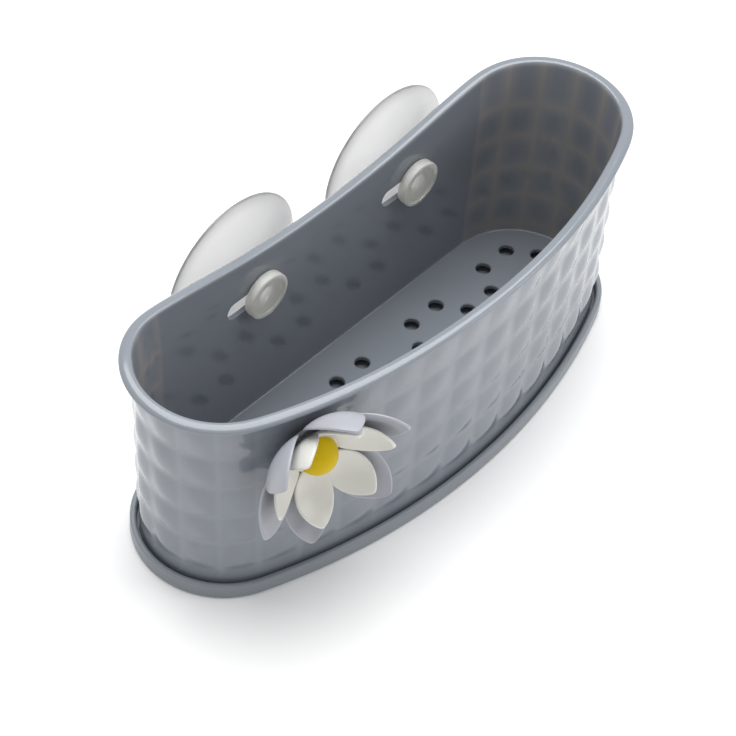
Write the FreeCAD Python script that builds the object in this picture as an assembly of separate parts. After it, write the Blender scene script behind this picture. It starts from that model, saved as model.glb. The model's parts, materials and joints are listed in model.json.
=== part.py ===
import FreeCAD, Part
import math
import os
from FreeCAD import Vector

os.makedirs("parts", exist_ok=True)

# A kitchen sink caddy: a D-shaped basket that stands in a drip tray, hangs on two suction cups and
# carries a three-layer flower on its front. Millimetres, +Z up, +X along the back wall, -Y to the front.
# The origin is the middle of the tray's underside.

# Rim of the basket
rim_length = 225.0
rim_depth = 80.7
rim_lead = 0.4            # the rim's middle lies this far behind the tray's middle
rim_height = 86.2         # top of the rim at the two ends
back_dip = 10.8           # the rim falls by this much at the middle of the back
front_crown = 2.0         # the rim rises by this much at the middle of the front
front_bow_radius = 240.0
rim_overhang = 3.7
rim_thickness = 2.4
rim_rounding = 1.0

# Walls and floor of the basket
wall_thickness = 1.8
floor_top = 6.8
floor_thickness = 1.8
floor_rounding = 1.2

# Drain holes, in staggered rows of pairs
drain_diameter = 5.6
drain_step = 13.3
drain_row_step = 9.7
drain_back_margin = 14.2
drain_edge_margin = 9.0
drain_group = 3           # every third place in a row stays closed

# Drip tray
tray_length = 217.0
tray_depth = 78.0
tray_floor = 2.0
lip_height = 6.2
lip_thickness = 2.2
lip_rounding = 0.9
foot_rounding = 1.2
tray_clearance = 0.7

# Keyholes in the back wall, and the suction cups
keyhole_spacing = 77.0    # between the middles of the two slots
keyhole_drop = 25.7       # below the rim's top at the ends
keyhole_travel = 13.0
entry_diameter = 10.0
cup_diameter = 60.0
cup_hollow = 7.0
cup_edge = 1.0
cup_middle = 2.4
cup_grip_width = 1.5
cup_standoff = 12.9       # from the back wall's outer face to the edge that grips
neck_diameter = 6.4
neck_clearance = 0.3
head_diameter = 17.6
head_thickness = 3.4
head_dish_depth = 0.7
head_dish_margin = 1.7
seat_clearance = 0.3

# Flower
flower_inset = 39.4       # from the rim's left end to the flower's axis
flower_drop = 21.0        # below the rim's top at the ends
outer_turns = [-8.0, 60.0, 120.0, 169.0, 227.0, 298.0]     # degrees from upright, to the left
outer_leans = [49.0, 52.0, 38.0, 32.0, 32.0, 40.0]         # degrees that each petal rises from the wall
outer_length = 25.3       # from the hub to a petal's tip, before the tip is rounded
outer_half_width = 9.0
outer_bulge = 5.2         # how far the most hollow petals bulge
outer_bulge_share = [1.0, 1.0, 0.5, 0.5, 0.5, 0.5]
inner_turns = [-18.0, 38.0, 110.0, 171.0, 224.0, 286.0]
inner_leans = [50.0, 53.0, 46.0, 43.0, 37.0, 45.0]
inner_length = 19.5
inner_half_width = 7.0
inner_bulge = 3.0
petal_thickness = 1.1
petal_clearance = 0.3
petal_tip_radius = 2.2
widest_share = 0.5        # a petal is widest this far along
root_share = 0.5          # width of a petal at its root, against its widest
outer_hub_margin = 2.0    # how far the outer hub reaches past the petals' roots
hub_thickness = 1.5
flower_gap = 0.5          # from the wall to the boss, which the slope of the wall makes less at its top
flower_standoff = 1.4     # from the wall to the back of the outer petals
boss_radius = 4.2
dome_radius = 6.9
dome_rise = 0.6           # the dome's centre above the inner petals' hub
pin_diameter = 4.0
pin_clearance = 0.06
barb_diameter = 5.4
barb_length = 3.2
barb_tip_share = 0.5
barb_clearance = 0.4

overrun = 5.0             # how far cutting shapes run past what they cut
match_tolerance = 0.01


def plan_outline(half_length, depth, bow_radius, middle):
    # A straight back, a bowed front and two corner arcs that meet both smoothly.
    linear = 2.0 * bow_radius - depth - half_length
    constant = half_length ** 2 + depth ** 2 - 2.0 * bow_radius * depth
    corner = math.sqrt(linear ** 2 - constant) - linear
    back = middle + depth / 2.0
    corner_x = half_length - corner
    corner_y = back - corner
    bow_y = back - depth + bow_radius
    return {"half_length": half_length, "depth": depth, "bow": bow_radius, "middle": middle, "back": back,
            "corner": corner, "corner_x": corner_x, "corner_y": corner_y, "bow_y": bow_y,
            "meet": math.atan2(corner_x, bow_y - corner_y)}


def inset(outline, distance):
    return plan_outline(outline["half_length"] - distance, outline["depth"] - 2.0 * distance,
                        outline["bow"] - distance, outline["middle"])


def outline_wire(outline, z):
    def on_bow(angle):
        y = outline["bow_y"] - outline["bow"] * math.cos(angle)
        return Vector(outline["bow"] * math.sin(angle), y, z)

    def on_corner(side, angle):
        x = outline["corner_x"] + outline["corner"] * math.sin(angle)
        y = outline["corner_y"] - outline["corner"] * math.cos(angle)
        return Vector(side * x, y, z)

    meet = outline["meet"]
    halfway = (meet + math.pi) / 2.0
    back_right = Vector(outline["corner_x"], outline["back"], z)
    back_left = Vector(-outline["corner_x"], outline["back"], z)
    curves = [Part.LineSegment(back_left, back_right),
              Part.Arc(back_right, on_corner(1, halfway), on_bow(meet)),
              Part.Arc(on_bow(meet), on_bow(0), on_bow(-meet)),
              Part.Arc(on_bow(-meet), on_corner(-1, halfway), back_left)]
    return Part.Wire([curve.toShape() for curve in curves])


def prism(outline, low, high):
    return Part.Face(outline_wire(outline, low)).extrude(Vector(0, 0, high - low))


def tapered(low_outline, low, high_outline, high):
    return Part.makeLoft([outline_wire(low_outline, low), outline_wire(high_outline, high)], True, True)


def room_inside(outline, x, y):
    # Distance from a point inside an outline to that outline.
    rooms = [outline["back"] - y, outline["bow"] - math.hypot(x, y - outline["bow_y"])]
    if abs(x) > outline["corner_x"]:
        rooms.append(outline["corner"] - math.hypot(abs(x) - outline["corner_x"], y - outline["corner_y"]))
    return min(rooms)


def level_edges(shape, z):
    return [edge for edge in shape.Edges
            if all(abs(vertex.Z - z) < match_tolerance for vertex in edge.Vertexes)]


def outline_edges(shape, outline):
    # The edges of a shape that run along the outline, whatever their height.
    found = []
    for edge in shape.Edges:
        first = edge.valueAt(edge.FirstParameter)
        middle = edge.valueAt((edge.FirstParameter + edge.LastParameter) / 2.0)
        last = edge.valueAt(edge.LastParameter)
        on_outline = all(abs(room_inside(outline, point.x, point.y)) < match_tolerance
                         for point in (first, middle, last))
        upright = math.hypot(last.x - first.x, last.y - first.y) < match_tolerance
        if on_outline and not upright:
            found.append(edge)
    return found


rim_outline = plan_outline(rim_length / 2.0, rim_depth, front_bow_radius, rim_lead)
tray_outline = plan_outline(tray_length / 2.0, tray_depth, front_bow_radius, 0)
wall_top_outline = inset(rim_outline, rim_overhang)
wall_foot_outline = inset(tray_outline, lip_thickness + tray_clearance)
cavity_top_outline = inset(wall_top_outline, wall_thickness)
cavity_foot_outline = inset(wall_foot_outline, wall_thickness)
wall_top = rim_height + front_crown + overrun
keyhole_height = rim_height - keyhole_drop
flower_height = rim_height - flower_drop


def wall_share(z):
    return (z - tray_floor) / (wall_top - tray_floor)


def wave_wire(y, dip, top):
    # The rim's height along X: level at the ends, one smooth wave of three arcs between them.
    span = rim_length / 2.0
    half = span / 2.0
    quarter = half / 2.0
    wave_radius = (half ** 2 + (dip / 2.0) ** 2) / abs(dip)
    shoulder = math.copysign(wave_radius - math.sqrt(wave_radius ** 2 - quarter ** 2), dip)
    far = span + overrun

    def at(x, fall):
        return Vector(x, y, top - fall)

    curves = [Part.LineSegment(at(-far, 0), at(-span, 0)),
              Part.Arc(at(-span, 0), at(quarter - span, shoulder), at(-half, dip / 2.0)),
              Part.Arc(at(-half, dip / 2.0), at(0, dip), at(half, dip / 2.0)),
              Part.Arc(at(half, dip / 2.0), at(span - quarter, shoulder), at(span, 0)),
              Part.LineSegment(at(span, 0), at(far, 0)),
              Part.LineSegment(at(far, 0), Vector(far, y, -overrun)),
              Part.LineSegment(Vector(far, y, -overrun), Vector(-far, y, -overrun)),
              Part.LineSegment(Vector(-far, y, -overrun), at(-far, 0))]
    return Part.Wire([curve.toShape() for curve in curves])


def under_rim(drop):
    # Everything below the rim's top, lowered by a drop. The wave fades from the back to the front.
    slope = (back_dip + front_crown) / rim_depth
    back = rim_outline["back"] + overrun
    front = rim_outline["back"] - rim_depth - overrun
    back_wire = wave_wire(back, back_dip + slope * overrun, rim_height - drop)
    front_wire = wave_wire(front, -front_crown - slope * overrun, rim_height - drop)
    return Part.makeLoft([back_wire, front_wire], True, True)


def wall_value(name, z):
    # A value of the wall's outer outline at a height.
    foot = wall_foot_outline[name]
    return foot + wall_share(z) * (wall_top_outline[name] - foot)


def flower_direction():
    x = flower_inset - rim_length / 2.0
    angle = math.asin(x / wall_value("bow", flower_height))
    return Vector(math.sin(angle), -math.cos(angle), 0)


def flower_place():
    # The point on the front wall that carries the flower.
    middle = Vector(0, wall_value("bow_y", flower_height), flower_height)
    return middle + flower_direction() * wall_value("bow", flower_height)


def on_wall(shape):
    # Moves a piece of the flower from its own axis, +Z, to its place on the wall.
    upward = Vector(0, 0, 1)
    sideways = upward.cross(flower_direction())
    moved = shape.copy()
    moved.Placement = FreeCAD.Placement(flower_place(),
                                        FreeCAD.Rotation(sideways, upward, flower_direction(), "ZXY"))
    return moved


def keyhole_seats():
    # The neck of each cup rests at the right-hand end of its slot.
    return [side * keyhole_spacing / 2.0 + keyhole_travel / 2.0 for side in (-1, 1)]


def keyhole_cutter(seat):
    depth = wall_thickness + 2.0 * overrun
    start = wall_value("back", keyhole_height) - wall_thickness - overrun
    backwards = Vector(0, 1, 0)
    slot_width = neck_diameter + 2.0 * neck_clearance
    slot_end = Vector(seat - keyhole_travel, start, keyhole_height)
    entry = Part.makeCylinder(entry_diameter / 2.0, depth, Vector(seat, start, keyhole_height), backwards)
    rounding = Part.makeCylinder(slot_width / 2.0, depth, slot_end, backwards)
    slot = Part.makeBox(keyhole_travel, depth, slot_width, slot_end - Vector(0, 0, slot_width / 2.0))
    return entry.fuse([rounding, slot])


def drain_places():
    # Alternate rows sit half a step over, and every third place in a row stays closed.
    places = []
    first_row = cavity_foot_outline["back"] - drain_back_margin
    reach = int(tray_length / drain_step)
    for row in range(int(tray_depth / drain_row_step)):
        shift = 1 - row % 2
        y = first_row - row * drain_row_step
        for column in range(-reach, reach + 1):
            half_steps = 2 * column + shift
            x = half_steps * drain_step / 2.0
            closed = half_steps % (2 * drain_group) == drain_group * shift
            if not closed and room_inside(cavity_foot_outline, x, y) > drain_edge_margin:
                places.append((x, y))
    return places


def make_basket():
    shell_top = under_rim(0)
    wall = tapered(wall_foot_outline, tray_floor, wall_top_outline, wall_top).common(shell_top)
    rim_low = rim_height - back_dip - rim_thickness - overrun
    rim = prism(rim_outline, rim_low, wall_top).common(shell_top).cut(under_rim(rim_thickness))
    cavity = tapered(cavity_foot_outline, floor_top, cavity_top_outline, wall_top)
    cavity = cavity.makeFillet(floor_rounding, level_edges(cavity, floor_top))
    recess = prism(cavity_foot_outline, tray_floor - overrun, floor_top - floor_thickness)
    basket = wall.fuse(rim).removeSplitter().cut(cavity).cut(recess)
    basket = basket.makeFillet(rim_rounding, outline_edges(basket, rim_outline))
    upward = Vector(0, 0, 1)
    drains = [Part.makeCylinder(drain_diameter / 2.0, floor_top, Vector(x, y, tray_floor), upward)
              for x, y in drain_places()]
    keyholes = [keyhole_cutter(seat) for seat in keyhole_seats()]
    hole_start = flower_place() + flower_direction() * overrun
    hole_radius = pin_diameter / 2.0 + pin_clearance
    pin_hole = Part.makeCylinder(hole_radius, wall_thickness + 2.0 * overrun, hole_start, -flower_direction())
    return basket.cut(drains + keyholes + [pin_hole])


def make_drip_tray():
    tray = prism(tray_outline, 0, lip_height)
    hollow = prism(inset(tray_outline, lip_thickness), tray_floor, lip_height + overrun)
    tray = tray.cut(hollow)
    tray = tray.makeFillet(lip_rounding, level_edges(tray, lip_height))
    return tray.makeFillet(foot_rounding, level_edges(tray, 0))


def make_suction_cup(seat):
    # One turned profile: dished head, neck and a hollow disc that opens to the back.
    cup_radius = cup_diameter / 2.0
    head_radius = head_diameter / 2.0
    neck_radius = neck_diameter / 2.0
    dish_radius = head_radius - head_dish_margin
    head_back = wall_value("back", keyhole_height - head_radius) - wall_thickness - seat_clearance
    head_front = head_back - head_thickness
    grip = wall_value("back", keyhole_height) + cup_standoff
    hollow_radius = cup_radius - cup_grip_width
    hollow_top = grip - cup_hollow
    disc_front = hollow_top - cup_middle
    disc_edge = grip - cup_edge

    def point(radius, y):
        return Vector(radius, y, 0)

    def bowl(outer_radius, outer_y, middle_y, radius):
        # A point on the shallow spherical bowl with this edge and this middle.
        rise = outer_y - middle_y
        sphere = (outer_radius ** 2 + rise ** 2) / (2.0 * rise)
        return point(radius, middle_y + sphere - math.sqrt(sphere ** 2 - radius ** 2))

    neck_root = bowl(cup_radius, disc_edge, disc_front, neck_radius)
    disc_middle = bowl(cup_radius, disc_edge, disc_front, (cup_radius + neck_radius) / 2.0)
    hollow_middle = bowl(hollow_radius, grip, hollow_top, hollow_radius / 2.0)
    hollow_edge = point(hollow_radius, grip)
    hollow_centre = point(0, hollow_top)
    dish = head_front + head_dish_depth
    front_corners = [hollow_centre, point(0, dish), point(dish_radius, dish), point(dish_radius, head_front),
                     point(head_radius, head_front), point(head_radius, head_back),
                     point(neck_radius, head_back), neck_root]
    edge_corners = [point(cup_radius, disc_edge), point(cup_radius, grip), hollow_edge]
    curves = [Part.makePolygon(front_corners),
              Part.Arc(neck_root, disc_middle, edge_corners[0]).toShape(),
              Part.makePolygon(edge_corners),
              Part.Arc(hollow_edge, hollow_middle, hollow_centre).toShape()]
    profile = Part.Face(Part.Wire([edge for curve in curves for edge in curve.Edges]))
    cup = profile.revolve(Vector(0, 0, 0), Vector(0, 1, 0), 360)
    cup.translate(Vector(seat, 0, keyhole_height))
    return cup


inner_root_radius = dome_radius + petal_clearance
inner_hub_radius = inner_root_radius + petal_thickness
outer_root_radius = inner_hub_radius + petal_clearance
outer_hub_radius = outer_root_radius + outer_hub_margin
inner_base = flower_standoff + hub_thickness
dome_base = inner_base + hub_thickness


def petal_prism(length, half_width, low, high):
    # A leaf shape with a rounded tip, from its root line at Y = 0 to its tip, between two levels.
    widest = widest_share * length
    root = root_share * half_width
    tip = Vector(0, length, low)
    left_root = Vector(-root, 0, low)
    right_root = Vector(root, 0, low)
    curves = [Part.Arc(right_root, Vector(half_width, widest, low), tip),
              Part.Arc(tip, Vector(-half_width, widest, low), left_root),
              Part.LineSegment(left_root, right_root)]
    prism = Part.Face(Part.Wire([curve.toShape() for curve in curves])).extrude(Vector(0, 0, high - low))
    tip_edges = [edge for edge in prism.Edges
                 if all(abs(vertex.Y - length) < match_tolerance for vertex in edge.Vertexes)]
    return prism.makeFillet(petal_tip_radius, tip_edges)


def make_petal(length, half_width, bulge):
    # A leaf cut from a hollow ball. The root is at the origin, the tip along +Y and the inside faces +Z.
    ball_radius = (length ** 2 / 4.0 + bulge ** 2) / (2.0 * bulge)
    middle = Vector(0, length / 2.0, ball_radius - bulge)
    shell = Part.makeSphere(ball_radius + petal_thickness, middle).cut(Part.makeSphere(ball_radius, middle))
    return shell.common(petal_prism(length, half_width, -bulge - overrun, middle.z))


def petal_whorl(base, root_radius, hub_radius, length, half_width, bulges, turns, leans):
    # Petals with their own hollows, turns and leans, joined by a hub. The flower's axis is +Z here.
    petals = []
    for bulge, turn, lean in zip(bulges, turns, leans):
        petal = make_petal(length, half_width, bulge)
        petal.rotate(Vector(0, 0, 0), Vector(1, 0, 0), lean)
        petal.translate(Vector(0, root_radius, base + hub_thickness))
        petal.rotate(Vector(0, 0, 0), Vector(0, 0, 1), turn)
        petals.append(petal)
    hub = Part.makeCylinder(hub_radius, hub_thickness, Vector(0, 0, base))
    return hub.fuse(petals).removeSplitter()


def pin_bore(shape, low, high):
    bore = Part.makeCylinder(pin_diameter / 2.0 + pin_clearance, high - low, Vector(0, 0, low))
    return shape.cut(bore)


def make_flower_outer_petals():
    bulges = [outer_bulge * share for share in outer_bulge_share]
    whorl = petal_whorl(flower_standoff, outer_root_radius, outer_hub_radius, outer_length, outer_half_width,
                        bulges, outer_turns, outer_leans)
    boss = Part.makeCylinder(boss_radius, flower_standoff - flower_gap, Vector(0, 0, flower_gap))
    return pin_bore(whorl.fuse(boss).removeSplitter(), 0, inner_base + overrun)


def make_flower_inner_petals():
    bulges = [inner_bulge] * len(inner_turns)
    whorl = petal_whorl(inner_base, inner_root_radius, inner_hub_radius, inner_length, inner_half_width,
                        bulges, inner_turns, inner_leans)
    return pin_bore(whorl, 0, dome_base + overrun)


def make_flower_centre():
    ball = Part.makeSphere(dome_radius, Vector(0, 0, dome_base + dome_rise))
    keep = Part.makeCylinder(dome_radius + overrun, 2.0 * dome_radius + overrun, Vector(0, 0, dome_base))
    barb_start = -wall_thickness - barb_clearance
    barb_radius = barb_diameter / 2.0
    pin = Part.makeCylinder(pin_diameter / 2.0, dome_base + dome_rise - barb_start, Vector(0, 0, barb_start))
    barb = Part.makeCone(barb_radius, barb_radius * barb_tip_share, barb_length, Vector(0, 0, barb_start),
                         Vector(0, 0, -1))
    return ball.common(keep).fuse([pin, barb]).removeSplitter()


seat_left, seat_right = keyhole_seats()
nodes = {
    "basket": make_basket(),
    "drip_tray": make_drip_tray(),
    "suction_cup_left": make_suction_cup(seat_left),
    "suction_cup_right": make_suction_cup(seat_right),
    "flower_outer_petals": on_wall(make_flower_outer_petals()),
    "flower_inner_petals": on_wall(make_flower_inner_petals()),
    "flower_centre": on_wall(make_flower_centre()),
}
for name, shape in nodes.items():
    box = shape.BoundBox
    print(name, "solids", len(shape.Solids), "valid", shape.isValid(), "volume", round(shape.Volume, 1),
          "x", round(box.XMin, 2), round(box.XMax, 2), "y", round(box.YMin, 2), round(box.YMax, 2),
          "z", round(box.ZMin, 2), round(box.ZMax, 2))
    shape.exportStep("parts/" + name + ".step")
print("flower axis", flower_place(), flower_direction())
print("cup seats", seat_left, seat_right, "drains", len(drain_places()))
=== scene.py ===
import bpy
import bmesh
import json
import math
from mathutils import Matrix, Vector


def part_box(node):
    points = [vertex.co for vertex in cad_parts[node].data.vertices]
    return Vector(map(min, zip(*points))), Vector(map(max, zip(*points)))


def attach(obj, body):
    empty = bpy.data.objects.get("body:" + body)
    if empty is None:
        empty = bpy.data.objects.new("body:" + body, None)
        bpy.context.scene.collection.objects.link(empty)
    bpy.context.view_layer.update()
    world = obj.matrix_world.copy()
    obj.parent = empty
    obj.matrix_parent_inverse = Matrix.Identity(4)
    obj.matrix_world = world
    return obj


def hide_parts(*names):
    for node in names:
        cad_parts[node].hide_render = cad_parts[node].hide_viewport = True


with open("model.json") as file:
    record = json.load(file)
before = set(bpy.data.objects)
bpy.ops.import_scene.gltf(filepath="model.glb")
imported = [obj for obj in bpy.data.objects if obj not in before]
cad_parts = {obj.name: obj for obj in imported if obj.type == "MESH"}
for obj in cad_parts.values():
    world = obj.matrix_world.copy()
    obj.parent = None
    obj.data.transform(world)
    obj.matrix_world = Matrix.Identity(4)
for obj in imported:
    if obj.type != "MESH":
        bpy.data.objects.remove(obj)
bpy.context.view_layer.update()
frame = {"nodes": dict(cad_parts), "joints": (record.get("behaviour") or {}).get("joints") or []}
print("frame loaded:", sorted(frame["nodes"]))

mm = 0.001
mergeDistance = 0.01 * mm
subdivisions = 2
mixFirst, mixSecond, mixResult = 6, 7, 2             # the colour sockets of a Mix node

flowerJoint = [joint for joint in frame["joints"] if joint["name"] == "flower_turn"][0]
flowerShape = {
    "place": Vector(flowerJoint["pos_m"]),
    "outward": Vector(flowerJoint["axis"]),
    "thickness": 1.1 * mm,
    "widestShare": 0.5,              # a petal is widest this far along
    "rootShare": 0.5,                # width of a petal at its root, against its widest
    "tipRadius": 2.2 * mm,
    "acrossSteps": 8,
    "alongSteps": 12,
    "boreRadius": 2.06 * mm,
    "boreDepth": 10 * mm,
    "boreSides": 32,
    "spinSteps": 48,                 # around a hub
    "smoothAngle": 45,
}


# Small helpers for working in edit mode

def clearSelection():
    if bpy.context.object and bpy.context.object.mode == "EDIT":
        bpy.ops.object.mode_set(mode="OBJECT")
    bpy.ops.object.select_all(action="DESELECT")


def startPiece(name):
    # names the primitive that was just added and goes into edit mode
    piece = bpy.context.object
    piece.name = name
    piece.data.name = name
    bpy.ops.object.mode_set(mode="EDIT")
    return piece


def pickVertices(piece, test):
    bpy.ops.mesh.select_mode(type="VERT")
    bpy.ops.mesh.select_all(action="DESELECT")
    mesh = bmesh.from_edit_mesh(piece.data)
    for vertex in mesh.verts:
        vertex.select_set(test(vertex))
    mesh.select_flush_mode()
    bmesh.update_edit_mesh(piece.data)


def pickEdges(piece, test):
    bpy.ops.mesh.select_mode(type="EDGE")
    bpy.ops.mesh.select_all(action="DESELECT")
    mesh = bmesh.from_edit_mesh(piece.data)
    for edge in mesh.edges:
        edge.select_set(test(edge))
    mesh.select_flush_mode()
    bmesh.update_edit_mesh(piece.data)


def pickFaces(piece, test):
    bpy.ops.mesh.select_mode(type="FACE")
    bpy.ops.mesh.select_all(action="DESELECT")
    mesh = bmesh.from_edit_mesh(piece.data)
    for face in mesh.faces:
        face.select_set(test(face))
    mesh.select_flush_mode()
    bmesh.update_edit_mesh(piece.data)


def outwardNormals():
    bpy.ops.mesh.select_all(action="SELECT")
    bpy.ops.mesh.normals_make_consistent(inside=False)


def applyModifier(piece, kind, **settings):
    clearSelection()
    bpy.context.view_layer.objects.active = piece
    piece.select_set(True)
    modifier = piece.modifiers.new(kind.lower(), kind)
    for key, value in settings.items():
        setattr(modifier, key, value)
    bpy.ops.object.modifier_apply(modifier=modifier.name)


def cutWith(piece, cutter):
    applyModifier(piece, "BOOLEAN", object=cutter, operation="DIFFERENCE", solver="EXACT")
    bpy.data.objects.remove(cutter)


def smoothShading(piece, degrees):
    clearSelection()
    bpy.context.view_layer.objects.active = piece
    piece.select_set(True)
    bpy.ops.object.shade_smooth_by_angle(angle=math.radians(degrees))


def joinPieces(name, pieces):
    clearSelection()
    for piece in pieces:
        piece.select_set(True)
    bpy.context.view_layer.objects.active = pieces[0]
    bpy.ops.object.join()
    pieces[0].name = name
    pieces[0].data.name = name
    return pieces[0]


# Plan of the caddy: a straight back, a bowed front and two corner arcs

def planOutline(halfLength, depth, bow, middle):
    linear = 2 * bow - depth - halfLength
    constant = halfLength ** 2 + depth ** 2 - 2 * bow * depth
    corner = math.sqrt(linear ** 2 - constant) - linear
    back = middle + depth / 2
    cornerX = halfLength - corner
    cornerY = back - corner
    bowY = back - depth + bow
    return {"halfLength": halfLength, "depth": depth, "bow": bow, "middle": middle, "back": back,
            "corner": corner, "cornerX": cornerX, "cornerY": cornerY, "bowY": bowY,
            "meet": math.atan2(cornerX, bowY - cornerY)}


def insetOutline(outline, distance):
    return planOutline(outline["halfLength"] - distance, outline["depth"] - 2 * distance,
                       outline["bow"] - distance, outline["middle"])


def outlinePoint(outline, along):
    # along runs from the middle of the back: to 1 its right half, to 2 the right corner, to 4 the front bow,
    # to 5 the left corner and to 6 the left half of the back
    side = 1
    if along > 3:
        along = 6 - along
        side = -1
    if along < 1:
        return Vector((side * along * outline["cornerX"], outline["back"], 0))
    if along < 2:
        angle = math.pi + (along - 1) * (outline["meet"] - math.pi)
        x = outline["cornerX"] + outline["corner"] * math.sin(angle)
        return Vector((side * x, outline["cornerY"] - outline["corner"] * math.cos(angle), 0))
    angle = (3 - along) * outline["meet"]
    x = outline["bow"] * math.sin(angle)
    return Vector((side * x, outline["bowY"] - outline["bow"] * math.cos(angle), 0))


# Basket

basketShape = {
    "rimOutline": planOutline(112.5 * mm, 80.7 * mm, 240 * mm, 0.4 * mm),
    "trayOutline": planOutline(108.5 * mm, 78 * mm, 240 * mm, 0),
    "rimOverhang": 3.7 * mm,
    "trayGap": 2.9 * mm,             # from the tray's outer face to the wall's foot
    "footZ": 2.0 * mm,
    "wallTopZ": 93.2 * mm,           # where the straight sides of the wall would end
    "rimZ": 86.2 * mm,               # at the two ends
    "backDip": 10.8 * mm,
    "frontCrown": 2.0 * mm,
    "rimThickness": 2.4 * mm,
    # inward and down from the rim's outer edge
    "rimProfile": [(3.0 * mm, 2.4 * mm), (0.5 * mm, 2.4 * mm), (0, 1.9 * mm), (0.1 * mm, 1.1 * mm),
                   (0.8 * mm, 0.4 * mm), (2.2 * mm, 0), (3.9 * mm, 0.05 * mm)],
    "rimInnerEdge": 0.35 * mm,       # rounding towards the inside
    "rimThinning": 0.9 * mm,         # the wall loses this much inside, from the highest groove to the rim
    "wall": 1.8 * mm,
    "floorZ": 6.8 * mm,
    "floorRounding": 0.5 * mm,
    "floorThickness": 1.8 * mm,
    "underBorder": 8 * mm,           # of the underside, from the wall to where it is filled
    "levelTolerance": 0.5 * mm,
    "gridCorner": 1.2,               # the floor is a grid, with its first corner this far along the outline
    "gridSpan": 40,                  # steps across the ends of that grid
    "backSteps": 8,
    "cornerColumns": 6,
    "bowColumns": 12,
    "grooveZ": [10.5 * mm, 24.6 * mm, 38.2 * mm, 52.9 * mm, 67.7 * mm],
    "grooveDepth": 0.7 * mm,         # of the lines between the pillows, below the plain wall
    "pillowRise": 0.6 * mm,          # of the pillows' middles, above the plain wall
    "grooveLightWidth": 1.3 * mm,           # half the width of the paler line of painted light along a groove
    "throughLightWidth": 6 * mm,          # the same for the painted light inside, where the thinner wall lets light through
    "levelShare": 0.6,               # faces that look up or down more than this aren't wall
    "smoothedShare": 5 / 9,          # subdivision smooths this much of a pushed point away
    "pillowRange": (1, 5),           # along the outline, from one end of the straight back to the other
    "rangeMargin": 0.01,
    "roundingShare": 0.3,            # where the arc at the floor's edge passes, against its radius
    "smoothAngle": 38,
    "flatShare": 0.9999,             # faces that look up or down this much are level
}


def rimTop(x, y):
    # the rim dips along the back, rises a little along the front and is level at the ends:
    # two parabolas, which meet halfway, make each half of the wave
    shape = basketShape
    outline = shape["rimOutline"]
    share = (outline["back"] - y) / outline["depth"]
    dip = shape["backDip"] - share * (shape["backDip"] + shape["frontCrown"])
    span = outline["halfLength"]
    reach = min(abs(x), span) / (span / 2)
    wave = 1 - 0.5 * reach ** 2 if reach < 1 else 0.5 * (2 - reach) ** 2
    return shape["rimZ"] - dip * wave


def wallPoint(along, z, inward=0):
    shape = basketShape
    foot = insetOutline(shape["trayOutline"], shape["trayGap"] + inward)
    top = insetOutline(shape["rimOutline"], shape["rimOverhang"] + inward)
    share = (z - shape["footZ"]) / (shape["wallTopZ"] - shape["footZ"])
    point = outlinePoint(foot, along).lerp(outlinePoint(top, along), share)
    point.z = z
    return point


def underRimPoint(along, share, inward=0):
    # between the highest groove and the underside of the rim
    shape = basketShape
    low = shape["grooveZ"][-1]
    guess = wallPoint(along, shape["rimZ"], inward)
    high = rimTop(guess.x, guess.y) - shape["rimThickness"]
    return wallPoint(along, low + share * (high - low), inward)


def rimPoint(along, inward, drop):
    point = outlinePoint(insetOutline(basketShape["rimOutline"], inward), along)
    point.z = rimTop(point.x, point.y) - drop
    return point


def basketStations():
    shape = basketShape
    runs = [(0, 1, shape["backSteps"]), (1, 1, 2 * shape["cornerColumns"]), (2, 2, 2 * shape["bowColumns"]),
            (4, 1, 2 * shape["cornerColumns"]), (5, 1, shape["backSteps"])]
    return [start + length * i / steps for start, length, steps in runs for i in range(steps)]


def basketRings():
    # each ring is a role and a function that places a station on it,
    # from the underside up, over the rim and down inside
    shape = basketShape
    wall = shape["wall"]
    foot = shape["footZ"]
    under = shape["floorZ"] - shape["floorThickness"]
    grooves = shape["grooveZ"]
    rings = [("edge", lambda a: wallPoint(a, under, wall)),
             ("edge", lambda a: wallPoint(a, foot, wall)),
             ("edge", lambda a: wallPoint(a, foot))]
    for low, high in zip(grooves, grooves[1:]):
        rings.append(("groove", lambda a, z=low: wallPoint(a, z)))
        rings.append(("pillow", lambda a, z=(low + high) / 2: wallPoint(a, z)))
    rings.append(("groove", lambda a: wallPoint(a, grooves[-1])))
    rings.append(("pillow", lambda a: underRimPoint(a, 0.5)))
    rings.append(("plain", lambda a: underRimPoint(a, 1)))
    thin = shape["rimThinning"]
    full = shape["rimOverhang"] + wall - thin
    for inward, drop in shape["rimProfile"]:
        rings.append(("rim", lambda a, i=inward, d=drop: rimPoint(a, i, d)))
    rings.append(("rim", lambda a: rimPoint(a, full - shape["rimInnerEdge"], shape["rimInnerEdge"])))
    rings.append(("rim", lambda a: rimPoint(a, full, 3 * shape["rimInnerEdge"])))
    rings.append(("inside", lambda a: underRimPoint(a, 1, wall - thin)))
    rings.append(("inside", lambda a: underRimPoint(a, 0.5, wall - thin / 2)))
    rings.append(("inside", lambda a: wallPoint(a, grooves[-1], wall)))
    for high, low in zip(grooves[::-1], grooves[-2::-1]):
        rings.append(("inside", lambda a, z=(low + high) / 2: wallPoint(a, z, wall)))
        rings.append(("inside", lambda a, z=low: wallPoint(a, z, wall)))
    floor = shape["floorZ"]
    rounding = shape["floorRounding"]
    bend = shape["roundingShare"] * rounding
    rings.append(("floor", lambda a: wallPoint(a, floor + bend, wall + bend)))
    rings.append(("floor", lambda a: wallPoint(a, floor, wall + rounding)))
    rings.append(("floor", lambda a: wallPoint(a, floor, wall + 2 * rounding)))
    return rings


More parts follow.
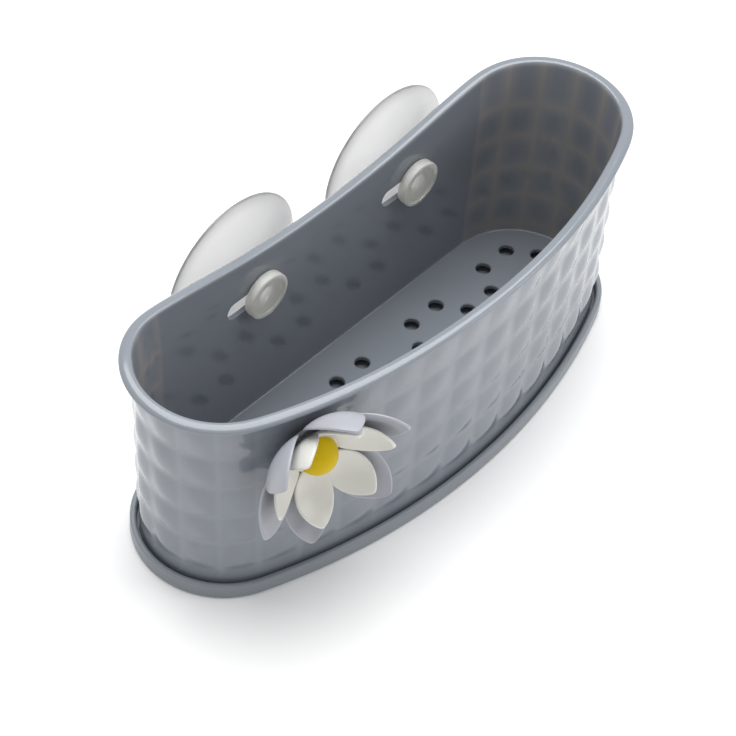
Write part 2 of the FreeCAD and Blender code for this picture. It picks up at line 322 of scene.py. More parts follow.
def grooveCloseness(point, outline, width):
    # 1 on a line between pillows, falling to 0 at this distance from it
    shape = basketShape
    sideAngle = math.atan2(abs(point.x) - outline["cornerX"], outline["cornerY"] - point.y)
    meet = outline["meet"]
    if sideAngle > meet and abs(point.x) > outline["cornerX"]:
        columns = shape["cornerColumns"] * (math.pi - sideAngle) / (math.pi - meet)
        columnWidth = outline["corner"] * (math.pi - meet) / shape["cornerColumns"]
    else:
        columns = shape["bowColumns"] / 2 * math.atan2(abs(point.x), outline["bowY"] - point.y) / meet
        columnWidth = outline["bow"] * meet / (shape["bowColumns"] / 2)
    level = max(0, 1 - min(abs(point.z - z) for z in shape["grooveZ"]) / width)
    upright = max(0, 1 - abs(columns - round(columns)) * columnWidth / width)
    return 1 - (1 - level ** 2) * (1 - upright ** 2)


def paintGrooveLight(basket):
    # two values for the material's painted light: thin paler lines along the grooves outside and a wide soft
    # lattice of light let through the thinner wall inside
    shape = basketShape
    foot = insetOutline(shape["trayOutline"], shape["trayGap"])
    top = insetOutline(shape["rimOutline"], shape["rimOverhang"])
    mesh = basket.data
    paintedGrooveLight = [0.0] * len(mesh.vertices)
    paintedLightThrough = [0.0] * len(mesh.vertices)
    for vertex in mesh.vertices:
        point, normal = vertex.co, vertex.normal
        share = (point.z - shape["footZ"]) / (shape["wallTopZ"] - shape["footZ"])
        outline = {key: foot[key] + share * (top[key] - foot[key]) for key in foot}
        onBack = abs(point.x) < outline["cornerX"] and point.y > outline["middle"]
        onWall = shape["floorZ"] < point.z < shape["rimZ"] and abs(normal.z) < shape["levelShare"]
        if onBack or not onWall:
            continue
        if normal.x * point.x + normal.y * (point.y - outline["middle"]) > 0:
            # painted light: a paler line along each groove outside
            paintedGrooveLight[vertex.index] = grooveCloseness(point, outline, shape["grooveLightWidth"])
        else:
            # painted light: the light let through the thinner wall, a wide warm lattice inside
            paintedLightThrough[vertex.index] = grooveCloseness(point, outline, shape["throughLightWidth"])
    for name, values in (("paintedGrooveLight", paintedGrooveLight), ("paintedLightThrough", paintedLightThrough)):
        mesh.attributes.new(name, "FLOAT", "POINT").data.foreach_set("value", values)


drainShape = {
    "radius": 2.8 * mm,
    "flare": 0.35 * mm,
    "step": 13.3 * mm,
    "rowStep": 9.7 * mm,
    "backMargin": 14.2 * mm,
    "edgeMargin": 9 * mm,
    "rows": 8,
    "columns": 16,                   # to each side of the middle, at most
    "startZ": 3 * mm,                # the drill starts under the floor
    "overrun": 1 * mm,
    "sides": 28,
    "upShare": 0.9,                  # the drill's top face looks up more than this
}


def drainPlaces():
    # alternate rows sit half a step over, and every third place in a row stays closed
    shape = drainShape
    cavity = insetOutline(basketShape["trayOutline"], basketShape["trayGap"] + basketShape["wall"])
    places = []
    for row in range(shape["rows"]):
        shift = 1 - row % 2
        y = cavity["back"] - shape["backMargin"] - row * shape["rowStep"]
        for column in range(-shape["columns"], shape["columns"] + 1):
            halfSteps = 2 * column + shift
            x = halfSteps * shape["step"] / 2
            room = min(cavity["back"] - y, cavity["bow"] - math.hypot(x, y - cavity["bowY"]))
            if abs(x) > cavity["cornerX"]:
                reach = math.hypot(abs(x) - cavity["cornerX"], y - cavity["cornerY"])
                room = min(room, cavity["corner"] - reach)
            if halfSteps % 6 != 3 * shift and room > shape["edgeMargin"]:
                places.append((x, y))
    return places


def makeDrainCutter():
    # one drill with a flared top, copied to every place
    radius, flare = drainShape["radius"], drainShape["flare"]
    low, high = drainShape["startZ"], basketShape["floorZ"]
    clearSelection()
    bpy.ops.mesh.primitive_cylinder_add(vertices=drainShape["sides"], radius=radius, depth=high - flare - low,
                                        location=(0, 0, (low + high - flare) / 2))
    drill = startPiece("drainCutter")
    pickFaces(drill, lambda face: face.normal.z > drainShape["upShare"])
    rise = flare + drainShape["overrun"]           # the flare goes on above the floor
    bpy.ops.mesh.extrude_region_move(TRANSFORM_OT_translate={"value": (0, 0, rise)})
    grow = (radius + rise) / radius
    bpy.ops.transform.resize(value=(grow, grow, 1), center_override=(0, 0, high))
    bpy.ops.object.mode_set(mode="OBJECT")
    bpy.ops.object.transform_apply(location=True, rotation=True, scale=True)
    drills = []
    for x, y in drainPlaces():
        copy = drill.copy()
        copy.data = drill.data.copy()
        copy.data.transform(Matrix.Translation((x, y, 0)))
        bpy.context.scene.collection.objects.link(copy)
        drills.append(copy)
    bpy.data.objects.remove(drill)
    return joinPieces("drainCutters", drills)


keyholeShape = {
    "slotRadius": 3.5 * mm,
    "entryRadius": 5 * mm,
    "travel": 13 * mm,
    "depth": 12 * mm,                # of the cutters
    "inset": 3 * mm,                 # from the tray's back to the cutters' middle
    "sides": 48,
}


def makeKeyholeCutters(node):
    # a slot that runs to the left of the cup's seat, and the round entry at the seat
    shape = keyholeShape
    low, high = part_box(node)
    wallY = basketShape["trayOutline"]["back"] - shape["inset"]
    seat = Vector(((low.x + high.x) / 2, wallY, (low.z + high.z) / 2))
    cutters = []
    for name, radius in (("slotCutter", shape["slotRadius"]), ("entryCutter", shape["entryRadius"])):
        clearSelection()
        bpy.ops.mesh.primitive_cylinder_add(vertices=shape["sides"], radius=radius, depth=shape["depth"],
                                            location=seat, rotation=(math.radians(90), 0, 0))
        bpy.ops.object.transform_apply(location=True, rotation=True, scale=True)
        cutter = startPiece(name)
        if name == "slotCutter":
            pickVertices(cutter, lambda vertex: vertex.co.x < seat.x)
            bpy.ops.transform.translate(value=(-shape["travel"], 0, 0))
        bpy.ops.object.mode_set(mode="OBJECT")
        cutters.append(cutter)
    return cutters


def makePinCutter():
    clearSelection()
    turn = flowerShape["outward"].to_track_quat("Z", "Y").to_euler()
    radius, depth = flowerShape["boreRadius"], flowerShape["boreDepth"]
    bpy.ops.mesh.primitive_cylinder_add(vertices=flowerShape["boreSides"], radius=radius, depth=depth,
                                        location=flowerShape["place"], rotation=turn)
    bpy.ops.object.transform_apply(location=True, rotation=True, scale=True)
    return bpy.context.object


def startGridAt(piece, place):
    # makes the picked vertex nearest to a place the active one, where a filled grid has its first corner
    mesh = bmesh.from_edit_mesh(piece.data)
    picked = [vertex for vertex in mesh.verts if vertex.select]
    mesh.select_history.clear()
    mesh.select_history.add(min(picked, key=lambda vertex: (vertex.co - place).length))
    bmesh.update_edit_mesh(piece.data)


def stationKey(along):
    return round(along, 4)


def makeShell(stations, rings):
    # a loop of the outline, extruded from ring to ring; each vertex keeps its station and its ring
    shape = basketShape
    clearSelection()
    bpy.ops.mesh.primitive_circle_add(vertices=len(stations), radius=shape["rimOutline"]["depth"])
    basket = startPiece("basketShell")
    mesh = bmesh.from_edit_mesh(basket.data)
    alongLayer = mesh.verts.layers.float.new("along")
    ringLayer = mesh.verts.layers.int.new("ring")
    mesh.verts.ensure_lookup_table()
    under = shape["floorZ"] - shape["floorThickness"]
    for vertex, along in zip(mesh.verts, stations):
        vertex[alongLayer] = along
        vertex[ringLayer] = -1
        vertex.co = wallPoint(along, under, shape["wall"] + shape["underBorder"])
    bmesh.update_edit_mesh(basket.data)
    bpy.ops.mesh.select_all(action="SELECT")
    for index, (role, place) in enumerate(rings):
        bpy.ops.mesh.extrude_region_move()
        mesh = bmesh.from_edit_mesh(basket.data)
        alongLayer = mesh.verts.layers.float["along"]
        ringLayer = mesh.verts.layers.int["ring"]
        for vertex in mesh.verts:
            if vertex.select:
                vertex[ringLayer] = index
                vertex.co = place(vertex[alongLayer])
        bmesh.update_edit_mesh(basket.data)
    outwardNormals()
    return basket


def shapePillows(basket, stations, roles):
    # presses the lines between the pillows in, lifts the pillows' middles and keeps the lines sharp
    shape = basketShape
    start, end = shape["pillowRange"]
    margin = shape["rangeMargin"]
    mesh = bmesh.from_edit_mesh(basket.data)
    alongLayer = mesh.verts.layers.float["along"]
    ringLayer = mesh.verts.layers.int["ring"]
    pillowStations = {}
    for number, along in enumerate(stations):
        pillowStations[stationKey(along)] = (number - shape["backSteps"]) % 2 == 1 and start < along < end

    def roleOf(vertex):
        return roles[vertex[ringLayer]] if vertex[ringLayer] >= 0 else "start"

    def isMiddle(vertex):
        return roleOf(vertex) == "pillow" and pillowStations[stationKey(vertex[alongLayer])]

    def isOnGroove(vertex):
        if not start + margin < vertex[alongLayer] < end - margin:
            return False
        return roleOf(vertex) == "groove" or (roleOf(vertex) == "pillow" and not isMiddle(vertex))

    def isGroove(edge):
        first, second = edge.verts
        if not all(start - margin < vertex[alongLayer] < end + margin for vertex in edge.verts):
            return False
        bothRoles = {roleOf(first), roleOf(second)}
        if first[ringLayer] == second[ringLayer]:
            return bothRoles == {"groove"}
        upright = not pillowStations[stationKey(first[alongLayer])]
        return upright and bothRoles == {"groove", "pillow"}

    def isCorner(edge):
        return all(roleOf(vertex) == "edge" for vertex in edge.verts)

    pickVertices(basket, isOnGroove)
    bpy.ops.transform.shrink_fatten(value=-shape["grooveDepth"])
    pickVertices(basket, isMiddle)
    smoothed = shape["smoothedShare"]
    push = (shape["pillowRise"] + smoothed * shape["grooveDepth"]) / (1 - smoothed)
    bpy.ops.transform.shrink_fatten(value=push)
    pickEdges(basket, isGroove)
    bpy.ops.transform.edge_crease(value=1)
    pickEdges(basket, isCorner)
    bpy.ops.transform.edge_crease(value=1)
    bpy.ops.object.mode_set(mode="OBJECT")


def closeFloor(basket):
    # fills the floor and its underside, so that the shell is closed
    shape = basketShape
    near = shape["levelTolerance"]
    bpy.ops.object.mode_set(mode="EDIT")
    for level in (shape["floorZ"] - shape["floorThickness"], shape["floorZ"]):
        pickEdges(basket, lambda edge: edge.is_boundary and abs(edge.verts[0].co.z - level) < near)
        startGridAt(basket, wallPoint(shape["gridCorner"], level))
        bpy.ops.mesh.fill_grid(span=shape["gridSpan"], offset=0)
    outwardNormals()
    bpy.ops.object.mode_set(mode="OBJECT")


def cutOpenings(basket):
    cutWith(basket, makeDrainCutter())
    for node in ("suction_cup_left", "suction_cup_right"):
        for cutter in makeKeyholeCutters(node):
            cutWith(basket, cutter)
    cutWith(basket, makePinCutter())


def makeBasket():
    stations = basketStations()
    rings = basketRings()
    basket = makeShell(stations, rings)
    shapePillows(basket, stations, [role for role, place in rings])
    applyModifier(basket, "SUBSURF", levels=subdivisions, render_levels=subdivisions)
    closeFloor(basket)
    cutOpenings(basket)
    paintGrooveLight(basket)
    smoothShading(basket, basketShape["smoothAngle"])
    bpy.ops.object.mode_set(mode="EDIT")
    pickFaces(basket, lambda face: abs(face.normal.z) > basketShape["flatShare"])
    bpy.ops.mesh.faces_shade_flat()                # a level floor, with no ripples by its holes
    bpy.ops.object.mode_set(mode="OBJECT")
    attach(basket, "basket")
    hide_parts("basket")
    print("basket:", len(basket.data.polygons), "faces")
    return basket


basketShell = makeBasket()


# Turned pieces: a profile of radius and height, spun about the Z axis

def spinProfile(name, profile, steps):
    clearSelection()
    bpy.ops.mesh.primitive_circle_add(vertices=len(profile), radius=max(radius for radius, height in profile))
    piece = startPiece(name)
    mesh = bmesh.from_edit_mesh(piece.data)
    mesh.verts.ensure_lookup_table()
    for vertex, (radius, height) in zip(mesh.verts, profile):
        vertex.co = (radius, 0, height)
    bmesh.update_edit_mesh(piece.data)
    pickEdges(piece, lambda edge: all(vertex.co.x == 0 for vertex in edge.verts))
    bpy.ops.mesh.delete(type="EDGE")
    bpy.ops.mesh.select_all(action="SELECT")
    bpy.ops.mesh.spin(steps=steps, angle=2 * math.pi, center=(0, 0, 0), axis=(0, 0, 1))
    bpy.ops.mesh.select_all(action="SELECT")
    bpy.ops.mesh.remove_doubles(threshold=mergeDistance)
    outwardNormals()
    bpy.ops.object.mode_set(mode="OBJECT")
    return piece


def bowlHeight(radius, edgeRadius, edgeHeight, middleHeight):
    # height on a shallow spherical bowl with this edge and middle
    rise = edgeHeight - middleHeight
    sphere = (edgeRadius ** 2 + rise ** 2) / (2 * rise)
    return middleHeight + sphere - math.sqrt(sphere ** 2 - radius ** 2)


# Suction cups

cupShape = {
    "headRadius": 8.8 * mm,
    "headThickness": 3.4 * mm,
    "dishRadius": 7.1 * mm,
    "dishDepth": 0.7 * mm,
    "neckRadius": 3.2 * mm,
    "discRadius": 30 * mm,
    "hollowRadius": 28.5 * mm,
    "hollowDepth": 7 * mm,
    "middleThickness": 2.4 * mm,
    "edgeThickness": 1 * mm,
    "neckRise": 0.8 * mm,            # the neck flares out this far before the disc
    "flareShares": [1.25, 1.7],      # widths of the flare, against the neck
    "discSteps": 8,
    "spinSteps": 72,
    "edgeRounding": 0.3 * mm,
    "edgeSegments": 3,
    "edgeAngle": 40,                 # edges sharper than this are rounded
    "smoothAngle": 50,
}


def makeSuctionCup(name, node):
    shape = cupShape
    low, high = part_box(node)
    grip = high.y - low.y                          # heights are measured from the head's front
    hollowTop = grip - shape["hollowDepth"]
    discFront = hollowTop - shape["middleThickness"]
    discEdge = grip - shape["edgeThickness"]
    neck, disc, hollow = shape["neckRadius"], shape["discRadius"], shape["hollowRadius"]

    def front(radius):
        return bowlHeight(radius, disc, discEdge, discFront)

    def inside(radius):
        return bowlHeight(radius, hollow, grip, hollowTop)

    steps = shape["discSteps"]
    narrowFlare, wideFlare = [neck * share for share in shape["flareShares"]]
    outward = [wideFlare + (disc - wideFlare) * i / steps for i in range(steps + 1)]
    inward = [hollow * (steps - i) / steps for i in range(steps + 1)]
    profile = [(0, shape["dishDepth"]), (shape["dishRadius"], shape["dishDepth"]), (shape["dishRadius"], 0),
               (shape["headRadius"], 0), (shape["headRadius"], shape["headThickness"]),
               (neck, shape["headThickness"]), (neck, front(neck) - shape["neckRise"]),
               (narrowFlare, front(neck))]
    profile += [(radius, front(radius)) for radius in outward]
    profile += [(disc, grip)]
    profile += [(radius, inside(radius)) for radius in inward]
    cup = spinProfile(name, profile, shape["spinSteps"])
    cup.data.transform(Matrix.Rotation(math.radians(-90), 4, "X"))
    cup.data.transform(Matrix.Translation(((low.x + high.x) / 2, low.y, (low.z + high.z) / 2)))
    applyModifier(cup, "BEVEL", width=shape["edgeRounding"], segments=shape["edgeSegments"],
                  limit_method="ANGLE", angle_limit=math.radians(shape["edgeAngle"]))
    smoothShading(cup, shape["smoothAngle"])
    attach(cup, node)
    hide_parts(node)
    print(name, len(cup.data.polygons), "faces")
    return cup


cups = [makeSuctionCup("leftCup", "suction_cup_left"), makeSuctionCup("rightCup", "suction_cup_right")]


# Flower

outerWhorl = {
    "base": 1.4 * mm, "hubTop": 2.9 * mm, "hubRadius": 10.6 * mm, "rootRadius": 8.6 * mm,
    "boss": [(4.2 * mm, 1.4 * mm), (4.2 * mm, 0.5 * mm)],      # radius and height, towards the wall
    "length": 25.3 * mm, "halfWidth": 9.0 * mm,
    "bulges": [5.2 * mm, 5.2 * mm, 2.6 * mm, 2.6 * mm, 2.6 * mm, 2.6 * mm],
    "turns": [-8, 60, 120, 169, 227, 298],       # degrees from upright, to the left
    "leans": [49, 52, 38, 32, 32, 40],           # degrees that each petal rises from the wall
}
innerWhorl = {
    "base": 2.9 * mm, "hubTop": 4.4 * mm, "hubRadius": 8.3 * mm, "rootRadius": 7.2 * mm, "boss": [],
    "length": 19.5 * mm, "halfWidth": 7.0 * mm, "bulges": [3.0 * mm] * 6,
    "turns": [-18, 38, 110, 171, 224, 286],
    "leans": [50, 53, 46, 43, 37, 45],
}


def circleThrough(first, second, third):
    ax, ay = second[0] - first[0], second[1] - first[1]
    bx, by = third[0] - first[0], third[1] - first[1]
    cross = 2 * (ax * by - ay * bx)
    x = (by * (ax ** 2 + ay ** 2) - ay * (bx ** 2 + by ** 2)) / cross
    y = (ax * (bx ** 2 + by ** 2) - bx * (ax ** 2 + ay ** 2)) / cross
    return first[0] + x, first[1] + y, math.hypot(x, y)


def leafOutline(whorl):
    # the arc of a leaf's side, and the small arc that rounds its tip
    half, length = whorl["halfWidth"], whorl["length"]
    sideY, sideX, side = circleThrough((0, flowerShape["rootShare"] * half),
                                       (flowerShape["widestShare"] * length, half), (length, 0))
    tip = flowerShape["tipRadius"]
    tipY = sideY + math.sqrt((side - tip) ** 2 - sideX ** 2)
    return {"sideX": sideX, "sideY": sideY, "side": side, "tipY": tipY, "tip": tip, "reach": tipY + tip,
            "meet": sideY + (tipY - sideY) * side / (side - tip)}


def leafWidth(leaf, along):
    # half the leaf's width at a distance from its root
    if along > leaf["meet"]:
        return math.sqrt(max(leaf["tip"] ** 2 - (along - leaf["tipY"]) ** 2, 0))
    return leaf["sideX"] + math.sqrt(leaf["side"] ** 2 - (along - leaf["sideY"]) ** 2)


def makePetal(whorl, bulge, turn, lean):
    # a leaf cut from a hollow ball, leaned about its root and turned about the flower's axis
    length = whorl["length"]
    leaf = leafOutline(whorl)
    ball = (length ** 2 / 4 + bulge ** 2) / (2 * bulge)
    clearSelection()
    bpy.ops.mesh.primitive_grid_add(x_subdivisions=flowerShape["acrossSteps"],
                                    y_subdivisions=flowerShape["alongSteps"], size=2)
    petal = startPiece("petal")
    mesh = bmesh.from_edit_mesh(petal.data)
    for vertex in mesh.verts:
        along = leaf["reach"] * math.sin((vertex.co.y + 1) / 2 * math.pi / 2)      # closer rows by the tip
        across = vertex.co.x * leafWidth(leaf, along)
        hollow = ball - bulge - math.sqrt(ball ** 2 - (along - length / 2) ** 2 - across ** 2)
        vertex.co = (across, along, hollow)
    bmesh.update_edit_mesh(petal.data)
    bpy.ops.mesh.select_all(action="SELECT")
    bpy.ops.mesh.remove_doubles(threshold=mergeDistance)
    outwardNormals()
    bpy.ops.object.mode_set(mode="OBJECT")
    if sum(face.normal.z for face in petal.data.polygons) < 0:
        petal.data.flip_normals()
    applyModifier(petal, "SOLIDIFY", thickness=flowerShape["thickness"], offset=-1)
    applyModifier(petal, "SUBSURF", levels=subdivisions, render_levels=subdivisions)
    petal.data.transform(Matrix.Rotation(math.radians(lean), 4, "X"))
    petal.data.transform(Matrix.Translation((0, whorl["rootRadius"], whorl["hubTop"])))
    petal.data.transform(Matrix.Rotation(math.radians(turn), 4, "Z"))
    return petal


def toFlower(piece):
    upward = Vector((0, 0, 1))
    outward = flowerShape["outward"]
    axes = Matrix((upward.cross(outward), upward, outward)).transposed().to_4x4()
    piece.data.transform(Matrix.Translation(flowerShape["place"]) @ axes)


def makeWhorl(name, whorl):
    petals = [makePetal(whorl, bulge, turn, lean)
              for bulge, turn, lean in zip(whorl["bulges"], whorl["turns"], whorl["leans"])]
    bore, rim = flowerShape["boreRadius"], whorl["hubRadius"]
    profile = [(bore, whorl["hubTop"]), (rim, whorl["hubTop"]), (rim, whorl["base"])] + whorl["boss"]
    profile.append((bore, profile[-1][1]))
    hub = spinProfile(name + "Hub", profile, flowerShape["spinSteps"])
    piece = joinPieces(name, petals + [hub])
    toFlower(piece)
    smoothShading(piece, flowerShape["smoothAngle"])
    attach(piece, "flower")
    print(name, len(piece.data.polygons), "faces")
    return piece


outerPetals = makeWhorl("outerPetals", outerWhorl)
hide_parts("flower_outer_petals")
innerPetals = makeWhorl("innerPetals", innerWhorl)
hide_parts("flower_inner_petals")

centreShape = {
    "radius": 6.9 * mm, "baseZ": 4.4 * mm, "middleZ": 5.0 * mm, "pinRadius": 2.0 * mm,
    "barbZ": -2.2 * mm, "barbRadius": 2.7 * mm, "barbLength": 3.2 * mm, "barbTip": 1.35 * mm,
    "segments": 48, "rings": 24, "smoothAngle": 40,
    "downShare": 0.99,               # the dome's flat face looks down more than this
}


def makeFlowerCentre():
    shape = centreShape
    clearSelection()
    bpy.ops.mesh.primitive_uv_sphere_add(segments=shape["segments"], ring_count=shape["rings"],
                                         radius=shape["radius"], location=(0, 0, shape["middleZ"]))
    bpy.ops.object.transform_apply(location=True, rotation=True, scale=True)
    centre = startPiece("flowerDome")
    bpy.ops.mesh.select_all(action="SELECT")
    bpy.ops.mesh.bisect(plane_co=(0, 0, shape["baseZ"]), plane_no=(0, 0, 1), use_fill=True, clear_inner=True)
    pickFaces(centre, lambda face: face.normal.z < -shape["downShare"])
    flat = math.sqrt(shape["radius"] ** 2 - (shape["middleZ"] - shape["baseZ"]) ** 2)
    bpy.ops.mesh.inset(thickness=flat - shape["pinRadius"])
    pinLength = shape["baseZ"] - shape["barbZ"]
    bpy.ops.mesh.extrude_region_move(TRANSFORM_OT_translate={"value": (0, 0, -pinLength)})
    bpy.ops.mesh.extrude_region_move()
    grow = shape["barbRadius"] / shape["pinRadius"]
    bpy.ops.transform.resize(value=(grow, grow, 1), center_override=(0, 0, shape["barbZ"]))
    bpy.ops.mesh.extrude_region_move(TRANSFORM_OT_translate={"value": (0, 0, -shape["barbLength"])})
    shrink = shape["barbTip"] / shape["barbRadius"]
    bpy.ops.transform.resize(value=(shrink, shrink, 1), center_override=(0, 0, shape["barbZ"]))
    bpy.ops.object.mode_set(mode="OBJECT")
    toFlower(centre)
    smoothShading(centre, shape["smoothAngle"])
    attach(centre, "flower")
    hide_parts("flower_centre")
    print("flowerDome", len(centre.data.polygons), "faces")
    return centre


flowerDome = makeFlowerCentre()


# Materials

finishShape = {
    "toneScale": 30, "toneDetail": 3,
    "glossScale": 140, "glossDetail": 4,
    "grainScale": 1500, "grainDetail": 2, "grainStrength": 0.25,
    "lightBending": 1.54,
}


def makeMouldedFinish():
    # broad tone, uneven gloss and fine grain of moulded plastic, from Object coordinates
    group = bpy.data.node_groups.new("mouldedFinish", "ShaderNodeTree")
    for label, key in (("Tone Scale", "toneScale"), ("Grain Scale", "grainScale")):
        socket = group.interface.new_socket(label, in_out="INPUT", socket_type="NodeSocketFloat")
        socket.default_value = finishShape[key]
    for label in ("Tone", "Gloss", "Grain"):
        group.interface.new_socket(label, in_out="OUTPUT", socket_type="NodeSocketFloat")
    nodes, links = group.nodes, group.links
    entry = nodes.new("NodeGroupInput")
    leave = nodes.new("NodeGroupOutput")
    place = nodes.new("ShaderNodeTexCoord")
    tone = nodes.new("ShaderNodeTexNoise")
    tone.inputs["Detail"].default_value = finishShape["toneDetail"]
    gloss = nodes.new("ShaderNodeTexNoise")
    gloss.inputs["Scale"].default_value = finishShape["glossScale"]
    gloss.inputs["Detail"].default_value = finishShape["glossDetail"]
    grain = nodes.new("ShaderNodeTexNoise")
    grain.inputs["Detail"].default_value = finishShape["grainDetail"]
    for noise in (tone, gloss, grain):
        links.new(place.outputs["Object"], noise.inputs["Vector"])
    links.new(entry.outputs["Tone Scale"], tone.inputs["Scale"])
    links.new(entry.outputs["Grain Scale"], grain.inputs["Scale"])
    links.new(tone.outputs["Fac"], leave.inputs["Tone"])
    links.new(gloss.outputs["Fac"], leave.inputs["Gloss"])
    links.new(grain.outputs["Fac"], leave.inputs["Grain"])
    return group


mouldedFinish = makeMouldedFinish()


def plasticMaterial(name, dark, light, roughness, grainDepth, grainScale=finishShape["grainScale"],
                    specular=0.5, transmission=0):
    material = bpy.data.materials.new(name)
    material.use_nodes = True
    nodes, links = material.node_tree.nodes, material.node_tree.links
    shader = nodes["Principled BSDF"]
    finish = nodes.new("ShaderNodeGroup")
    finish.node_tree = mouldedFinish
    finish.inputs["Grain Scale"].default_value = grainScale
    colour = nodes.new("ShaderNodeMix")
    colour.data_type = "RGBA"
    colour.name = "tone"
    colour.inputs[mixFirst].default_value = (*dark, 1)
    colour.inputs[mixSecond].default_value = (*light, 1)
    links.new(finish.outputs["Tone"], colour.inputs[0])
    links.new(colour.outputs[mixResult], shader.inputs["Base Color"])
    spread = nodes.new("ShaderNodeMapRange")
    spread.inputs["To Min"].default_value = roughness[0]
    spread.inputs["To Max"].default_value = roughness[1]
    links.new(finish.outputs["Gloss"], spread.inputs["Value"])
    links.new(spread.outputs["Result"], shader.inputs["Roughness"])
    bump = nodes.new("ShaderNodeBump")
    bump.inputs["Strength"].default_value = finishShape["grainStrength"]
    bump.inputs["Distance"].default_value = grainDepth
    links.new(finish.outputs["Grain"], bump.inputs["Height"])
    links.new(bump.outputs["Normal"], shader.inputs["Normal"])
    shader.inputs["Specular IOR Level"].default_value = specular
    shader.inputs["Transmission Weight"].default_value = transmission
    shader.inputs["IOR"].default_value = finishShape["lightBending"]
    return material


def layPaintedLight(material, paintedLights):
    # each painted light is laid over the tone where a value painted on the mesh calls for it
    nodes, links = material.node_tree.nodes, material.node_tree.links
    shader = nodes["Principled BSDF"]
    colour = nodes["tone"].outputs[mixResult]
    for name, lightColour, strength in paintedLights:
        value = nodes.new("ShaderNodeAttribute")
        value.attribute_name = name
        share = nodes.new("ShaderNodeMath")
        share.operation = "MULTIPLY"
        share.inputs[1].default_value = strength
        links.new(value.outputs["Fac"], share.inputs[0])
        mix = nodes.new("ShaderNodeMix")
        mix.data_type = "RGBA"
        mix.inputs[mixSecond].default_value = (*lightColour, 1)
        links.new(share.outputs[0], mix.inputs[0])
        links.new(colour, mix.inputs[mixFirst])
        colour = mix.outputs[mixResult]
    links.new(colour, shader.inputs["Base Color"])


def letLightIn(material, depth):
    # light that falls on one side comes out at the other
    shader = material.node_tree.nodes["Principled BSDF"]
    shader.inputs["Subsurface Weight"].default_value = 1
    shader.inputs["Subsurface Radius"].default_value = (1, 1, 1)
    shader.inputs["Subsurface Scale"].default_value = depth


def dress(piece, material):
    piece.data.materials.clear()
    piece.data.materials.append(material)


def dressCup(cup, disc, head):
    # the head takes a paler, milkier copy of the vinyl: its paler cream base colour is painted light, and its
    # scattering makes the thick head milkier than the thin disc
    dress(cup, disc)
    cup.data.materials.append(head)
    headBack = min(vertex.co.y for vertex in cup.data.vertices) + cupShape["headThickness"]
    for face in cup.data.polygons:
        face.material_index = int(face.center.y < headBack + mergeDistance)


darkGrey, lightGrey = (0.198, 0.22, 0.25), (0.238, 0.26, 0.29)
trayPlastic = plasticMaterial("trayPlastic", darkGrey, lightGrey,
                              roughness=(0.3, 0.42), grainDepth=0.004 * mm)
greyPlastic = plasticMaterial("greyPlastic", darkGrey, lightGrey,
                              roughness=(0.07, 0.14), grainDepth=0.004 * mm)
# painted light: paler lines along the grooves outside, and a wide warm lattice inside where the thinner wall
# lets light through
layPaintedLight(greyPlastic, (("paintedGrooveLight", (0.42, 0.45, 0.48), 0.1), ("paintedLightThrough", (0.34, 0.315, 0.30), 0.8)))
greyPetal = plasticMaterial("greyPetalPlastic", (0.33, 0.34, 0.375), (0.38, 0.39, 0.43),
                            roughness=(0.28, 0.42), grainDepth=0.02 * mm)
whitePlastic = plasticMaterial("whitePlastic", (0.64, 0.64, 0.60), (0.71, 0.71, 0.68),
                               roughness=(0.25, 0.4), grainDepth=0.015 * mm)
yellowPlastic = plasticMaterial("yellowPlastic", (0.58, 0.40, 0.001), (0.65, 0.46, 0.002),
                                roughness=(0.45, 0.6), grainDepth=0.02 * mm, specular=0.15)
clearVinyl = plasticMaterial("clearVinyl", (0.67, 0.67, 0.67), (0.73, 0.73, 0.73),
                             roughness=(0.3, 0.42), grainDepth=0.002 * mm, grainScale=200, transmission=0.9)
# painted light: the head's copy of the vinyl has a paler cream base colour than the disc's, so that the head
# looks lit
milkyVinylPaintedLight = plasticMaterial("milkyVinylPaintedLight", (0.97, 0.93, 0.82), (1.0, 0.97, 0.87),
                             roughness=(0.3, 0.42), grainDepth=0.002 * mm, grainScale=200, transmission=0.45)
letLightIn(milkyVinylPaintedLight, 6 * mm)
dress(basketShell, greyPlastic)
dress(frame["nodes"]["drip_tray"], trayPlastic)
dress(outerPetals, greyPetal)
dress(innerPetals, whitePlastic)
dress(flowerDome, yellowPlastic)
for cup in cups:
    dressCup(cup, clearVinyl, milkyVinylPaintedLight)
print("materials dressed")


# Camera at the photograph's viewing angle

cameraView = {
    "target": Vector((0, 13.45 * mm, 42.19 * mm)),
    "distance": 941.4 * mm,
    "azimuth": 51.687,
    "elevation": 46.396,
    "roll": 5.047,
    "lens": 134.28,
    "shift": (-0.00234, -0.07484),
    "sensor": 36,
    "clip": (0.01, 50),
}


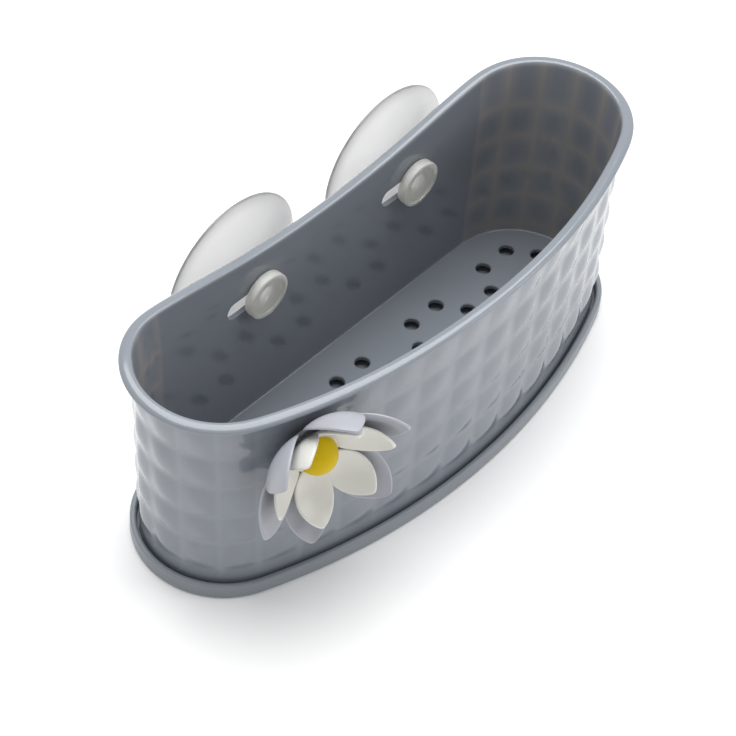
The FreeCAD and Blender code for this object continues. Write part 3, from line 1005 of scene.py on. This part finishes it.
def makeCamera():
    azimuth = math.radians(cameraView["azimuth"])
    elevation = math.radians(cameraView["elevation"])
    roll = math.radians(cameraView["roll"])
    back = Vector((-math.sin(azimuth) * math.cos(elevation), -math.cos(azimuth) * math.cos(elevation),
                   math.sin(elevation)))
    right = (-back).cross(Vector((0, 0, 1))).normalized()
    up = right.cross(-back)
    tiltedRight = math.cos(roll) * right + math.sin(roll) * up
    tiltedUp = -math.sin(roll) * right + math.cos(roll) * up
    data = bpy.data.cameras.new("camera")
    data.lens = cameraView["lens"]
    data.sensor_width = cameraView["sensor"]
    data.shift_x, data.shift_y = cameraView["shift"]
    data.clip_start, data.clip_end = cameraView["clip"]
    camera = bpy.data.objects.new("camera", data)
    bpy.context.scene.collection.objects.link(camera)
    turn = Matrix((tiltedRight, tiltedUp, back)).transposed().to_4x4()
    camera.matrix_world = Matrix.Translation(cameraView["target"] + back * cameraView["distance"]) @ turn
    bpy.context.scene.camera = camera


makeCamera()


# Pale floor and soft light

stageShape = {
    "floorSize": 8,
    "floorTone": (0.96, 0.96, 0.96, 1),
    "floorRoughness": 0.9,
    "worldTone": (1, 1, 1, 1),
    "worldStrength": 0.55,
    "aim": Vector((0, 0, 0.04)),     # the point that the lights look at
    "lights": [
        {"name": "keyLight", "place": Vector((0.35, 0.35, 1.8)), "size": 1.8, "power": 46},
        {"name": "sideLight", "place": Vector((1.2, -1.4, 0.9)), "size": 0.8, "power": 6},
    ],
}


def makeStage():
    shape = stageShape
    clearSelection()
    bpy.ops.mesh.primitive_plane_add(size=shape["floorSize"])
    floor = bpy.context.object
    floor.name = "floor"
    material = bpy.data.materials.new("paleFloor")
    material.use_nodes = True
    shader = material.node_tree.nodes["Principled BSDF"]
    shader.inputs["Base Color"].default_value = shape["floorTone"]
    shader.inputs["Roughness"].default_value = shape["floorRoughness"]
    floor.data.materials.append(material)
    world = bpy.data.worlds.new("studio")
    world.use_nodes = True
    world.node_tree.nodes["Background"].inputs["Color"].default_value = shape["worldTone"]
    world.node_tree.nodes["Background"].inputs["Strength"].default_value = shape["worldStrength"]
    bpy.context.scene.world = world
    bpy.context.scene.view_settings.view_transform = "Standard"
    for lamp in shape["lights"]:
        data = bpy.data.lights.new(lamp["name"], "AREA")
        data.size = lamp["size"]
        data.energy = lamp["power"]
        light = bpy.data.objects.new(lamp["name"], data)
        light.location = lamp["place"]
        light.rotation_euler = (shape["aim"] - lamp["place"]).to_track_quat("-Z", "Y").to_euler()
        bpy.context.scene.collection.objects.link(light)


makeStage()
